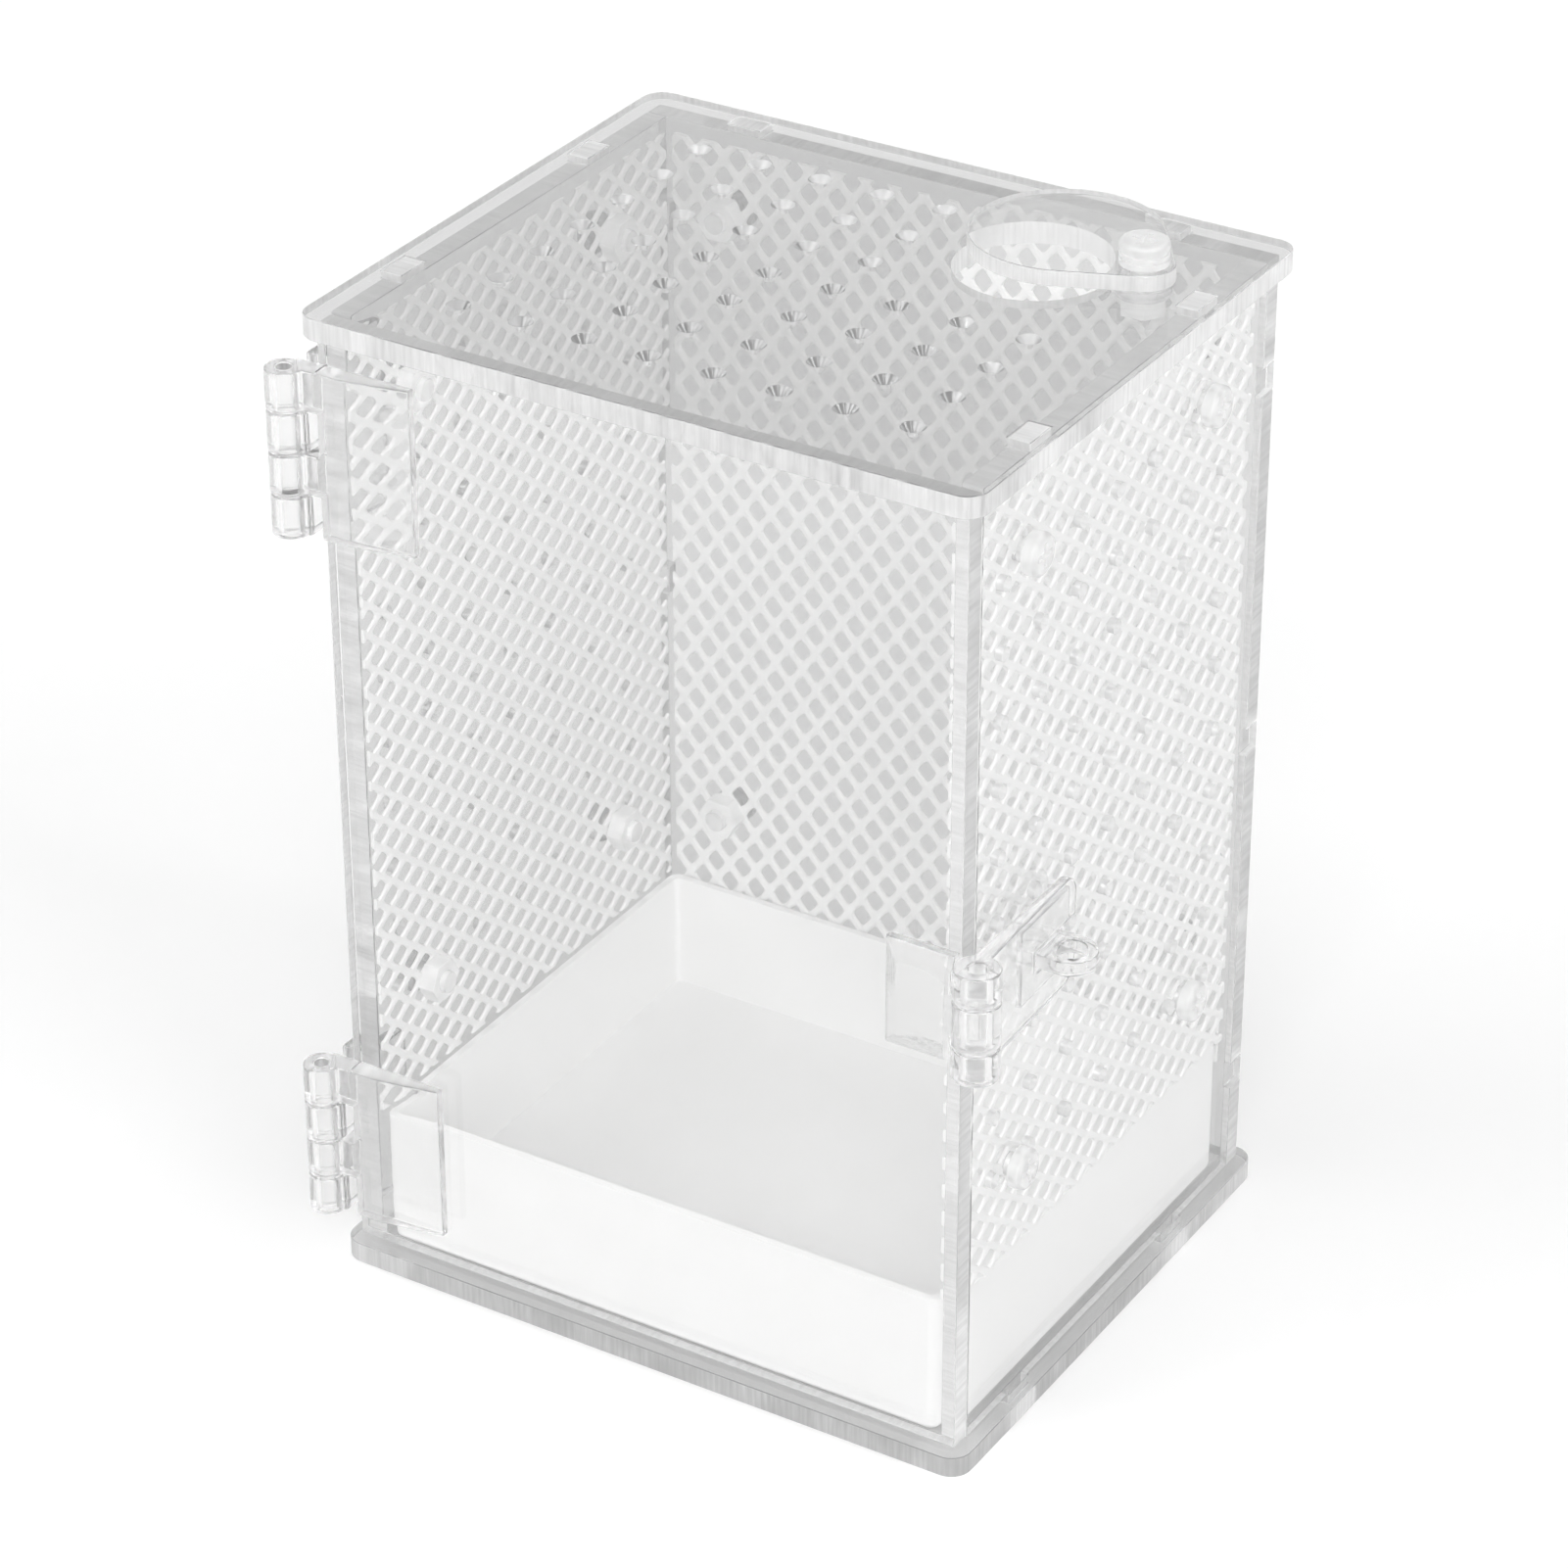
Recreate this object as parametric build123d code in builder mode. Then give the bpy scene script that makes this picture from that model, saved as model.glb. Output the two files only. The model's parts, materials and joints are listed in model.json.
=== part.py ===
from build123d import *
import math
import os

# Clear sheet-plastic insect breeding box: slotted plates, a hinged front door with a hasp, vented side walls
# with nets screwed inside, a swivelling cover over the feeding hole, and a lift-out tray.
# Millimetres. +X is the hasp's side, +Y the back, +Z up. The origin is the middle of the base's underside.

# Sheets and overall size
SHEET = 3.0  # every clear plate, wall and the door
WALLS_X = 92.0  # over the two side walls
WALLS_Y = 78.0  # from the door's front to the back wall's rear face
HEIGHT = 140.0  # from the base's underside to the top plate's upper face
OVERHANG = 2.0  # of base and top plate past the walls
PLATE_CORNER_R = 3.0
SEAM = 0.05  # between faces that are bonded or clamped together
DOOR_GAP = 0.2  # between the closed door and the walls' front edges
DOOR_END_GAP = 0.4  # between the door and the plates above and below it

# Tabs that lock the walls into the plates and into each other
TAB_LONG = 5.0
TAB_FIT = 0.05  # around each tab in its slot
SIDE_TAB_SPREAD = 42.0
BACK_TAB_SPREAD = 62.0
EDGE_TAB_TALL = 4.0
EDGE_TAB_FROM_END = 17.75  # of the outer tabs' middles from the box's top and bottom

# Vents
TOP_VENT_R = 0.55
TOP_VENT_SINK_R = 1.6
TOP_VENT_SINK_ANGLE = 82
TOP_VENT_PITCH = 9.2
TOP_VENT_MID_Y = -0.7
TOP_VENT_COLUMNS = 8
TOP_VENT_ROWS = 7
TOP_VENT_FULL_ROWS = 4  # the front rows, which run the whole width
TOP_VENT_SHORT_COLUMNS = 5  # in the rows beside the feeding hole
SIDE_VENT_R = 1.0
SIDE_VENT_PITCH = 9.4
SIDE_VENT_COLUMNS = 7
SIDE_VENT_RISE = 36.0  # of the lowest row above the base plate
SIDE_VENT_DROP = 13.0  # of the highest row below the top plate, at least

# Nets and their screws
NET_T = 0.6
NET_STRAND = 1.7
NET_PITCH_LONG = 11.0  # along the side walls, and up the back wall
NET_PITCH_SHORT = 9.0
NET_EDGE = 0.5  # from the net's side edge to the door or the next net
NET_FOOT_GAP = 0.4  # of the side nets above the tray's rim
BACK_NET_TUCK = 4.0  # of the back net below the tray's rim, behind the tray
NET_HEAD_GAP = 1.95  # below the top plate
NET_PAD_R = 3.6  # solid patch round each screw
SCREW_R = 1.5
SCREW_FIT = 0.1
SCREW_HEAD_R = 2.8
SCREW_HEAD_T = 2.0
SCREW_HEAD_ROUND = 0.7
SCREW_END = 0.8  # thread showing past the nut
DRIVE_LONG = 3.2
DRIVE_WIDE = 0.7
DRIVE_DEEP = 0.9
NUT_FLATS = 5.5
NUT_T = 2.4
NUT_FIT = 0.02
SIDE_SCREW_SPREAD = 45.6
SIDE_SCREW_RISE = 35.2  # of the lower screws above the base plate
SIDE_SCREW_DROP = 11.5  # of the upper screws below the top plate
BACK_SCREW_SPREAD = 67.0
BACK_SCREW_RISE = 33.0
BACK_SCREW_DROP = 12.0

# Tray
TRAY_FIT = 0.2  # to the side nets, the back net and the door
TRAY_TALL = 20.5
TRAY_WALL = 1.0
TRAY_FLOOR = 3.2
TRAY_CORNER_R = 1.6
TRAY_INNER_R = 0.8
TRAY_FOOT_R = 1.0

# Door hinges
HINGE_TALL = 23.0
HINGE_DROP = 3.7  # of the upper hinge's top below the top plate
HINGE_RISE = 5.5  # of the lower hinge's foot above the base plate
HINGE_KNUCKLES = 4
HINGE_LEAF_T = 3.0  # at the barrel
HINGE_LEAF_TIP_T = 1.2
HINGE_LEAF_FLAT = 8.0  # from the barrel's axis to where the taper starts
HINGE_LEAF_START = 4.6  # from the barrel's axis to the full-height leaf
DOOR_LEAF_REACH = 17.4
WALL_LEAF_REACH = 14.0
HINGE_BARREL_R = 2.5
HINGE_PIN_R = 1.0
PIN_FIT = 0.05
KNUCKLE_GAP = 0.2

# Hasp
HASP_TALL = 15.4
HASP_BARREL_R = 3.05
HASP_AXIS_OUT = 3.2  # of the barrel's axis beyond the side wall
HASP_AXIS_FORWARD = 2.0  # of the barrel's axis ahead of the door
HASP_MIDDLE_KNUCKLE = 6.2
HASP_LEAF_WIDE = 9.9
HASP_LEAF_T = 2.5
HASP_LEAF_BASE_T = 1.1
HASP_LEAF_BEVEL = 2.3
HASP_LEAF_INSET = 0.2  # from the door's side edge
HASP_PIN_R = 1.2
FLAP_REACH = 26.1  # from the barrel's axis to the free end
FLAP_ROOT_T = 2.2
FLAP_TIP_T = 1.2
FLAP_CORNER_R = 3.0
FLAP_FIT = 0.35  # between the flap and the staple's foot, and the flap and the middle knuckle
STAPLE_Y = -22.0
STAPLE_FOOT_LONG = 13.0
STAPLE_FOOT_TALL = 11.0
STAPLE_FOOT_T = 1.0
STAPLE_EAR_T = 2.0
STAPLE_EAR_R = 3.5
STAPLE_HOLE_R = 2.05
STAPLE_HOLE_OUT = 5.7  # of the ear's hole beyond the side wall
STAPLE_SLOT_FIT = 0.4

# Feeding hole and its cover
PIVOT_X = 36.1
PIVOT_Y = 21.4
FEED_R = 10.2
FEED_REACH = 14.1  # from the pivot to the middle of the feeding hole
FEED_ANGLE = 194.3  # of the feeding hole seen from the pivot
COVER_AJAR = -31.0  # how far the cover stands turned from shut
COVER_REACH = 13.6  # from the pivot to the middle of the cover's disc
COVER_R = 12.5
COVER_T = 2.2
COVER_LOBE_R = 4.0  # less than the pivot's distance from the feeding hole, so the turned cover leaves it open
COVER_GAP = 0.1
PIVOT_SCREW_R = 1.5
PIVOT_FIT = 0.1
PIVOT_HEAD_R = 3.2
PIVOT_HEAD_T = 3.2
PIVOT_HEAD_ROUND = 0.6
PIVOT_GROOVES = 2
PIVOT_GROOVE = 0.35
PIVOT_GROOVE_PITCH = 0.8
PIVOT_WASHER_R = 3.6
PIVOT_WASHER_T = 0.6

# Planes of the walls, worked out from the sizes above
SIDE_OUT = WALLS_X / 2
SIDE_IN = SIDE_OUT - SHEET
BACK_OUT = WALLS_Y / 2
BACK_IN = BACK_OUT - SHEET
DOOR_FRONT = -WALLS_Y / 2
DOOR_BACK = DOOR_FRONT + SHEET
WALL_FRONT = DOOR_BACK + DOOR_GAP
PLATE_X = WALLS_X + 2 * OVERHANG
PLATE_Y = WALLS_Y + 2 * OVERHANG
WALL_FOOT = SHEET + SEAM
WALL_HEAD = HEIGHT - SHEET - SEAM
TRAY_FOOT = SHEET + SEAM
TRAY_RIM = TRAY_FOOT + TRAY_TALL
SIDE_NET_FOOT = TRAY_RIM + NET_FOOT_GAP
BACK_NET_FOOT = TRAY_RIM - BACK_NET_TUCK
NET_HEAD = HEIGHT - SHEET - NET_HEAD_GAP
SIDE_MID_Y = (DOOR_FRONT + BACK_IN) / 2
MID_Z = HEIGHT / 2
SIDE_TAB_Y = (SIDE_MID_Y - SIDE_TAB_SPREAD / 2, SIDE_MID_Y + SIDE_TAB_SPREAD / 2)
BACK_TAB_X = (-BACK_TAB_SPREAD / 2, BACK_TAB_SPREAD / 2)
EDGE_TAB_Z = (EDGE_TAB_FROM_END, MID_Z, HEIGHT - EDGE_TAB_FROM_END)
HINGE_FOOT_Z = {"upper": HEIGHT - SHEET - HINGE_DROP - HINGE_TALL, "lower": SHEET + HINGE_RISE}
SIDE_SCREW_Y = (SIDE_MID_Y - SIDE_SCREW_SPREAD / 2, SIDE_MID_Y + SIDE_SCREW_SPREAD / 2)
SIDE_SCREW_Z = (SHEET + SIDE_SCREW_RISE, HEIGHT - SHEET - SIDE_SCREW_DROP)
BACK_SCREW_X = (-BACK_SCREW_SPREAD / 2, BACK_SCREW_SPREAD / 2)
BACK_SCREW_Z = (SHEET + BACK_SCREW_RISE, HEIGHT - SHEET - BACK_SCREW_DROP)
FEED_X = PIVOT_X + FEED_REACH * math.cos(math.radians(FEED_ANGLE))
FEED_Y = PIVOT_Y + FEED_REACH * math.sin(math.radians(FEED_ANGLE))
SIDE_SCREWS = [(y, z) for y in SIDE_SCREW_Y for z in SIDE_SCREW_Z]
BACK_SCREWS = [(x, z) for x in BACK_SCREW_X for z in BACK_SCREW_Z]

os.makedirs("parts", exist_ok=True)


def save(builder, name):
    """Name the finished piece and write it to its own file."""
    builder.part.label = name
    export_step(builder.part, f"parts/{name}.step")


def wall_slots():
    """Cut the slots for all wall tabs out of a plate's sketch."""
    wide = SHEET + 2 * TAB_FIT
    long = TAB_LONG + 2 * TAB_FIT
    side_mid = SIDE_OUT - SHEET / 2
    with Locations(*[(x, y) for x in (-side_mid, side_mid) for y in SIDE_TAB_Y]):
        Rectangle(wide, long, mode=Mode.SUBTRACT)
    with Locations(*[(x, BACK_OUT - SHEET / 2) for x in BACK_TAB_X]):
        Rectangle(long, wide, mode=Mode.SUBTRACT)


def vent_places():
    """Points of the top plate's vents: full rows in front, short ones beside the feeding hole."""
    first_x = -(TOP_VENT_COLUMNS - 1) / 2 * TOP_VENT_PITCH
    first_y = TOP_VENT_MID_Y - (TOP_VENT_ROWS - 1) / 2 * TOP_VENT_PITCH
    places = []
    for row in range(TOP_VENT_ROWS):
        columns = TOP_VENT_COLUMNS if row < TOP_VENT_FULL_ROWS else TOP_VENT_SHORT_COLUMNS
        for column in range(columns):
            places.append((first_x + column * TOP_VENT_PITCH, first_y + row * TOP_VENT_PITCH))
    return places


def box_sketch(low, high):
    """A rectangle between two corners of the sketch's plane."""
    with Locations(((low[0] + high[0]) / 2, (low[1] + high[1]) / 2)):
        Rectangle(high[0] - low[0], high[1] - low[1])


def net_sketch(low, high, pitch_across, pitch_up, screws):
    """A sheet with two staggered arrays of diamond gaps, and a drilled solid pad at each screw."""
    middle = ((low[0] + high[0]) / 2, (low[1] + high[1]) / 2)
    columns = int((high[0] - low[0] - NET_STRAND) / pitch_across)
    rows = int((high[1] - low[1] - NET_STRAND) / pitch_up)
    half_across = (pitch_across - NET_STRAND * math.hypot(pitch_across, pitch_up) / pitch_up) / 2
    half_up = half_across * pitch_up / pitch_across
    diamond = [(half_across, 0), (0, half_up), (-half_across, 0), (0, -half_up)]
    box_sketch(low, high)
    for across, up in ((columns, rows), (columns - 1, rows - 1)):
        with Locations(middle):
            with GridLocations(pitch_across, pitch_up, across, up):
                Polygon(*diamond, mode=Mode.SUBTRACT)
    with Locations(*screws):
        Circle(NET_PAD_R)
        Circle(SCREW_R + SCREW_FIT, mode=Mode.SUBTRACT)


# Base plate
with BuildPart() as base_plate:
    with BuildSketch(Plane.XY):
        RectangleRounded(PLATE_X, PLATE_Y, PLATE_CORNER_R)
        wall_slots()
    extrude(amount=SHEET)
save(base_plate, "base_plate")

# Top plate, with the countersunk vents, the feeding hole and the cover's pivot hole
with BuildPart() as top_plate:
    with BuildSketch(Plane.XY.offset(HEIGHT - SHEET)):
        RectangleRounded(PLATE_X, PLATE_Y, PLATE_CORNER_R)
        wall_slots()
        with Locations((FEED_X, FEED_Y)):
            Circle(FEED_R, mode=Mode.SUBTRACT)
        with Locations((PIVOT_X, PIVOT_Y)):
            Circle(PIVOT_SCREW_R + PIVOT_FIT, mode=Mode.SUBTRACT)
    extrude(amount=SHEET)
    with Locations(*[(x, y, HEIGHT) for x, y in vent_places()]):
        CounterSinkHole(TOP_VENT_R, TOP_VENT_SINK_R, counter_sink_angle=TOP_VENT_SINK_ANGLE)
save(top_plate, "top_plate")

# Side walls, with tabs above, below and behind, the vents and the net's screw holes
side_walls = {"left_wall": -SIDE_OUT, "right_wall": SIDE_IN}
vent_steps = int((HEIGHT - 2 * SHEET - SIDE_VENT_DROP - SIDE_VENT_RISE) / SIDE_VENT_PITCH)
vent_mid_z = SHEET + SIDE_VENT_RISE + vent_steps * SIDE_VENT_PITCH / 2
for name, inner_x in side_walls.items():
    with BuildPart() as side_wall:
        with BuildSketch(Plane.YZ.offset(inner_x)):
            box_sketch((WALL_FRONT, WALL_FOOT), (BACK_IN - SEAM, WALL_HEAD))
            for y in SIDE_TAB_Y:
                box_sketch((y - TAB_LONG / 2, 0), (y + TAB_LONG / 2, HEIGHT))
            for z in EDGE_TAB_Z:
                box_sketch((0, z - EDGE_TAB_TALL / 2), (BACK_OUT, z + EDGE_TAB_TALL / 2))
            with Locations((SIDE_MID_Y, vent_mid_z)):
                with GridLocations(SIDE_VENT_PITCH, SIDE_VENT_PITCH, SIDE_VENT_COLUMNS, vent_steps + 1):
                    Circle(SIDE_VENT_R, mode=Mode.SUBTRACT)
            with Locations(*SIDE_SCREWS):
                Circle(SCREW_R + SCREW_FIT, mode=Mode.SUBTRACT)
        extrude(amount=SHEET)
    save(side_wall, name)

# Back wall, notched at both edges for the side walls' tabs
with BuildPart() as back_wall:
    with BuildSketch(Plane.XZ.offset(-BACK_OUT)):
        box_sketch((-SIDE_OUT, WALL_FOOT), (SIDE_OUT, WALL_HEAD))
        for x in BACK_TAB_X:
            box_sketch((x - TAB_LONG / 2, 0), (x + TAB_LONG / 2, HEIGHT))
        with Locations(*[(x, z) for x in (-SIDE_OUT, SIDE_OUT) for z in EDGE_TAB_Z]):
            Rectangle(2 * (SHEET + TAB_FIT), EDGE_TAB_TALL + 2 * TAB_FIT, mode=Mode.SUBTRACT)
        with Locations(*BACK_SCREWS):
            Circle(SCREW_R + SCREW_FIT, mode=Mode.SUBTRACT)
    extrude(amount=SHEET)
save(back_wall, "back_wall")

# Nets on the inside of the side walls and the back wall
net_front = DOOR_BACK + NET_EDGE
net_back = BACK_IN - NET_T - NET_EDGE
for name, inner_x in {"left_mesh": -SIDE_IN, "right_mesh": SIDE_IN - NET_T}.items():
    with BuildPart() as side_net:
        with BuildSketch(Plane.YZ.offset(inner_x)):
            low, high = (net_front, SIDE_NET_FOOT), (net_back, NET_HEAD)
            net_sketch(low, high, NET_PITCH_LONG, NET_PITCH_SHORT, SIDE_SCREWS)
        extrude(amount=NET_T)
    save(side_net, name)
with BuildPart() as back_mesh:
    with BuildSketch(Plane.XZ.offset(-BACK_IN)):
        net_half = SIDE_IN - NET_T - NET_EDGE
        low, high = (-net_half, BACK_NET_FOOT), (net_half, NET_HEAD)
        net_sketch(low, high, NET_PITCH_SHORT, NET_PITCH_LONG, BACK_SCREWS)
    extrude(amount=NET_T)
save(back_mesh, "back_mesh")

# One net screw, its head standing on the plane at height 0, with a cross drive
screw_long = SHEET + NET_T + SEAM + NUT_T + SCREW_END
with BuildPart() as net_screw:
    Cylinder(SCREW_HEAD_R, SCREW_HEAD_T, align=(Align.CENTER, Align.CENTER, Align.MIN))
    fillet(net_screw.edges().group_by(Axis.Z)[-1], SCREW_HEAD_ROUND)
    with BuildSketch(Plane.XY):
        Circle(SCREW_R)
    extrude(amount=-screw_long)
    with BuildSketch(Plane.XY.offset(SCREW_HEAD_T)):
        Rectangle(DRIVE_LONG, DRIVE_WIDE)
        Rectangle(DRIVE_WIDE, DRIVE_LONG)
    extrude(amount=-DRIVE_DEEP, mode=Mode.SUBTRACT)

# One hex nut, clamped behind the wall and the net
with BuildPart() as net_nut:
    with BuildSketch(Plane.XY.offset(-SHEET - NET_T - 2 * SEAM)):
        RegularPolygon(NUT_FLATS / 2, 6, major_radius=False)
        Circle(SCREW_R + NUT_FIT, mode=Mode.SUBTRACT)
    extrude(amount=-NUT_T)

# Screws and nuts of the three nets, four each
screw_planes = {
    "left": [Plane((-SIDE_OUT - SEAM, y, z), x_dir=(0, 1, 0), z_dir=(-1, 0, 0)) for y, z in SIDE_SCREWS],
    "right": [Plane((SIDE_OUT + SEAM, y, z), x_dir=(0, 1, 0), z_dir=(1, 0, 0)) for y, z in SIDE_SCREWS],
    "back": [Plane((x, BACK_OUT + SEAM, z), x_dir=(1, 0, 0), z_dir=(0, 1, 0)) for x, z in BACK_SCREWS],
}
for side, planes in screw_planes.items():
    with BuildPart() as screws:
        with Locations(*planes):
            add(net_screw.part)
    save(screws, f"{side}_mesh_screws")
    with BuildPart() as nuts:
        with Locations(*planes):
            add(net_nut.part)
    save(nuts, f"{side}_mesh_nuts")

# Tray: an open pan between the nets, the back net and the door
tray_half_x = SIDE_IN - NET_T - TRAY_FIT
tray_front = DOOR_BACK + TRAY_FIT
tray_back = BACK_IN - NET_T - TRAY_FIT
tray_mid_y = (tray_front + tray_back) / 2
tray_long = tray_back - tray_front
with BuildPart() as substrate_tray:
    with BuildSketch(Plane.XY.offset(TRAY_FOOT)):
        with Locations((0, tray_mid_y)):
            RectangleRounded(2 * tray_half_x, tray_long, TRAY_CORNER_R)
    extrude(amount=TRAY_TALL)
    fillet(substrate_tray.edges().group_by(Axis.Z)[0], TRAY_FOOT_R)
    with BuildSketch(Plane.XY.offset(TRAY_RIM)):
        with Locations((0, tray_mid_y)):
            RectangleRounded(2 * (tray_half_x - TRAY_WALL), tray_long - 2 * TRAY_WALL, TRAY_INNER_R)
    extrude(amount=TRAY_FLOOR - TRAY_TALL, mode=Mode.SUBTRACT)
save(substrate_tray, "substrate_tray")

# Front door: one plate in front of the walls' edges
with BuildPart() as door_panel:
    with BuildSketch(Plane.XZ.offset(-DOOR_BACK)):
        box_sketch((-SIDE_OUT, SHEET + DOOR_END_GAP), (SIDE_OUT, HEIGHT - SHEET - DOOR_END_GAP))
    extrude(amount=SHEET)
save(door_panel, "door_panel")


def hinge_leaf_profile(reach):
    """Plan of a leaf lying along X from the barrel's axis: flat, then tapered to its tip."""
    back = HINGE_LEAF_T - SEAM
    outline = [(0, 0), (HINGE_LEAF_FLAT, 0), (reach, HINGE_LEAF_T - HINGE_LEAF_TIP_T), (reach, back), (0, back)]
    Polygon(*outline, align=None)


# Door hinges: a leaf on the door with the first and third knuckle, a leaf on the wall with the others, a pin
hinge_x = -SIDE_OUT - HINGE_LEAF_T
hinge_y = DOOR_FRONT - HINGE_LEAF_T
knuckle_pitch = HINGE_TALL / HINGE_KNUCKLES
knuckle_tall = knuckle_pitch - KNUCKLE_GAP
for level, foot_z in HINGE_FOOT_Z.items():
    # The wall's leaf is the door's leaf turned over about the corner's diagonal
    leaves = {
        "door": (DOOR_LEAF_REACH, 0, Plane((hinge_x, hinge_y, foot_z), x_dir=(1, 0, 0), z_dir=(0, 0, 1)), 1),
        "wall": (WALL_LEAF_REACH, 1, Plane((hinge_x, hinge_y, foot_z), x_dir=(0, 1, 0), z_dir=(0, 0, -1)), -1),
    }
    for side, (reach, first, plane, up) in leaves.items():
        with BuildPart() as leaf:
            with BuildSketch(plane):
                hinge_leaf_profile(reach)
            extrude(amount=up * HINGE_TALL)
            with BuildSketch(plane):
                with Locations((0, 0)):
                    Rectangle(2 * HINGE_LEAF_START, 2 * HINGE_LEAF_START)
            extrude(amount=up * HINGE_TALL, mode=Mode.SUBTRACT)
            for row in range(first, HINGE_KNUCKLES, 2):
                knuckle_rise = HINGE_TALL - (row + 1) * knuckle_pitch + KNUCKLE_GAP / 2
                knuckle_plane = plane.offset(up * knuckle_rise)
                with BuildSketch(knuckle_plane):
                    Circle(HINGE_BARREL_R)
                    back = HINGE_LEAF_T - SEAM
                    box_sketch((0, 0), (HINGE_LEAF_START, back))
                extrude(amount=up * knuckle_tall)
            with BuildSketch(plane):
                Circle(HINGE_PIN_R + PIN_FIT)
            extrude(amount=up * HINGE_TALL, mode=Mode.SUBTRACT)
        save(leaf, f"{level}_hinge_{side}_leaf")
    with BuildPart() as hinge_pin:
        with BuildSketch(Plane.XY.offset(foot_z + KNUCKLE_GAP)):
            with Locations((hinge_x, hinge_y)):
                Circle(HINGE_PIN_R)
        extrude(amount=HINGE_TALL - 2 * KNUCKLE_GAP)
    save(hinge_pin, f"{level}_hinge_pin")

# Hasp: bevelled leaf on the door with the middle knuckle
hasp_x = SIDE_OUT + HASP_AXIS_OUT
hasp_y = DOOR_FRONT - HASP_AXIS_FORWARD
hasp_foot = MID_Z - HASP_TALL / 2
leaf_right = SIDE_OUT - HASP_LEAF_INSET
leaf_left = leaf_right - HASP_LEAF_WIDE
leaf_back = DOOR_FRONT - SEAM
with BuildPart() as latch_door_leaf:
    with BuildSketch(Plane.XZ.offset(-leaf_back)):
        box_sketch((leaf_left, hasp_foot), (leaf_right, hasp_foot + HASP_TALL))
    extrude(amount=HASP_LEAF_BASE_T)
    with BuildSketch(Plane.XZ.offset(HASP_LEAF_BASE_T - leaf_back)):
        box_sketch((leaf_left, hasp_foot), (leaf_right, hasp_foot + HASP_TALL))
    with BuildSketch(Plane.XZ.offset(HASP_LEAF_T - leaf_back)):
        box_sketch(
            (leaf_left + HASP_LEAF_BEVEL, hasp_foot + HASP_LEAF_BEVEL),
            (leaf_right, hasp_foot + HASP_TALL - HASP_LEAF_BEVEL),
        )
    loft()
    with BuildSketch(Plane.XY.offset(MID_Z - HASP_MIDDLE_KNUCKLE / 2)):
        with Locations((hasp_x, hasp_y)):
            Circle(HASP_BARREL_R)
        box_sketch((leaf_right, leaf_back - HASP_LEAF_T), (hasp_x, leaf_back))
    extrude(amount=HASP_MIDDLE_KNUCKLE)
    with BuildSketch(Plane.XY.offset(hasp_foot)):
        with Locations((hasp_x, hasp_y)):
            Circle(HASP_PIN_R + PIN_FIT)
    extrude(amount=HASP_TALL, mode=Mode.SUBTRACT)
save(latch_door_leaf, "latch_door_leaf")

with BuildPart() as latch_pin:
    with BuildSketch(Plane.XY.offset(hasp_foot + KNUCKLE_GAP)):
        with Locations((hasp_x, hasp_y)):
            Circle(HASP_PIN_R)
    extrude(amount=HASP_TALL - 2 * KNUCKLE_GAP)
save(latch_pin, "latch_pin")

# Hasp flap: tapered plate with the outer knuckles, forked round the staple's ear
flap_in = SIDE_OUT + SEAM + STAPLE_FOOT_T + FLAP_FIT
flap_end = hasp_y + FLAP_REACH
flap_start = hasp_y + HASP_BARREL_R + FLAP_FIT
outer_knuckle = (HASP_TALL - HASP_MIDDLE_KNUCKLE) / 2 - KNUCKLE_GAP
slot_tall = STAPLE_EAR_T + 2 * STAPLE_SLOT_FIT
slot_start = STAPLE_Y - STAPLE_EAR_R - STAPLE_SLOT_FIT
with BuildPart() as latch_flap:
    with BuildSketch(Plane.XY.offset(hasp_foot)):
        Polygon(
            (flap_in, flap_start),
            (flap_in + FLAP_ROOT_T, flap_start),
            (flap_in + FLAP_TIP_T, flap_end),
            (flap_in, flap_end),
            align=None,
        )
    extrude(amount=HASP_TALL)
    end_edges = latch_flap.edges().filter_by(Axis.X).group_by(Axis.Y)[-1]
    fillet(end_edges, FLAP_CORNER_R)
    for knuckle_foot in (hasp_foot, hasp_foot + HASP_TALL - outer_knuckle):
        with BuildSketch(Plane.XY.offset(knuckle_foot)):
            with Locations((hasp_x, hasp_y)):
                Circle(HASP_BARREL_R)
            box_sketch((flap_in, hasp_y), (flap_in + FLAP_ROOT_T, flap_start))
        extrude(amount=outer_knuckle)
    with BuildSketch(Plane.XY.offset(hasp_foot)):
        with Locations((hasp_x, hasp_y)):
            Circle(HASP_PIN_R + PIN_FIT)
    extrude(amount=HASP_TALL, mode=Mode.SUBTRACT)
    with BuildSketch(Plane.YZ.offset(flap_in)):
        box_sketch((slot_start, MID_Z - slot_tall / 2), (flap_end, MID_Z + slot_tall / 2))
    extrude(amount=FLAP_ROOT_T, mode=Mode.SUBTRACT)
save(latch_flap, "latch_flap")

# Staple: a foot bonded to the right wall and a level ear with the padlock's hole
with BuildPart() as latch_staple:
    with BuildSketch(Plane.YZ.offset(SIDE_OUT + SEAM)):
        with Locations((STAPLE_Y, MID_Z)):
            Rectangle(STAPLE_FOOT_LONG, STAPLE_FOOT_TALL)
    extrude(amount=STAPLE_FOOT_T)
    with BuildSketch(Plane.XY.offset(MID_Z - STAPLE_EAR_T / 2)):
        box_sketch(
            (SIDE_OUT + SEAM, STAPLE_Y - STAPLE_EAR_R), (SIDE_OUT + STAPLE_HOLE_OUT, STAPLE_Y + STAPLE_EAR_R)
        )
        with Locations((SIDE_OUT + STAPLE_HOLE_OUT, STAPLE_Y)):
            Circle(STAPLE_EAR_R)
            Circle(STAPLE_HOLE_R, mode=Mode.SUBTRACT)
    extrude(amount=STAPLE_EAR_T)
save(latch_staple, "latch_staple")

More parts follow.
